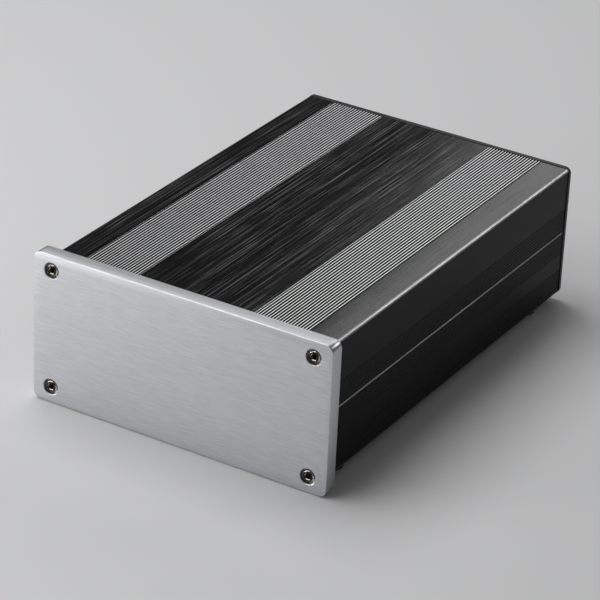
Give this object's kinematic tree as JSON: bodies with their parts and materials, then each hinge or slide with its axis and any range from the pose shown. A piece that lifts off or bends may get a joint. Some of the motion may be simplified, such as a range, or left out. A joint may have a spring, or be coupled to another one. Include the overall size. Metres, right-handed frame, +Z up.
{
  "type": "extruded aluminium enclosure",
  "caption": "Flat split-body instrument enclosure of extruded aluminium with a thick overhanging front panel, ridged top and grooved sides.",
  "frame": {"origin": "on the ground plane, under the middle of the whole object", "axes": "+X to the right seen from the front, +Y from the front panel to the rear panel, +Z up"},
  "size_m": [0.145, 0.214, 0.0698],
  "materials": {
    "black_anodised": "black anodised extrusion with fine die lines along its length",
    "brushed_silver": "silver anodised, brushed from side to side",
    "black_panel": "black anodised sheet",
    "screw_steel": "dark nickel plate",
    "foot_rubber": "matt"
  },
  "bodies": {
    "root": {"upper_shell": "black_anodised", "lower_shell": "black_anodised", "front_panel": "brushed_silver", "rear_panel": "black_panel", "front_screw_upper_left": "screw_steel", "front_screw_upper_right": "screw_steel", "front_screw_lower_left": "screw_steel", "front_screw_lower_right": "screw_steel", "rear_screw_upper_left": "screw_steel", "rear_screw_upper_right": "screw_steel", "rear_screw_lower_left": "screw_steel", "rear_screw_lower_right": "screw_steel", "foot_front_left": "foot_rubber", "foot_front_right": "foot_rubber", "foot_rear_left": "foot_rubber", "foot_rear_right": "foot_rubber"}
  },
  "joints": []
}
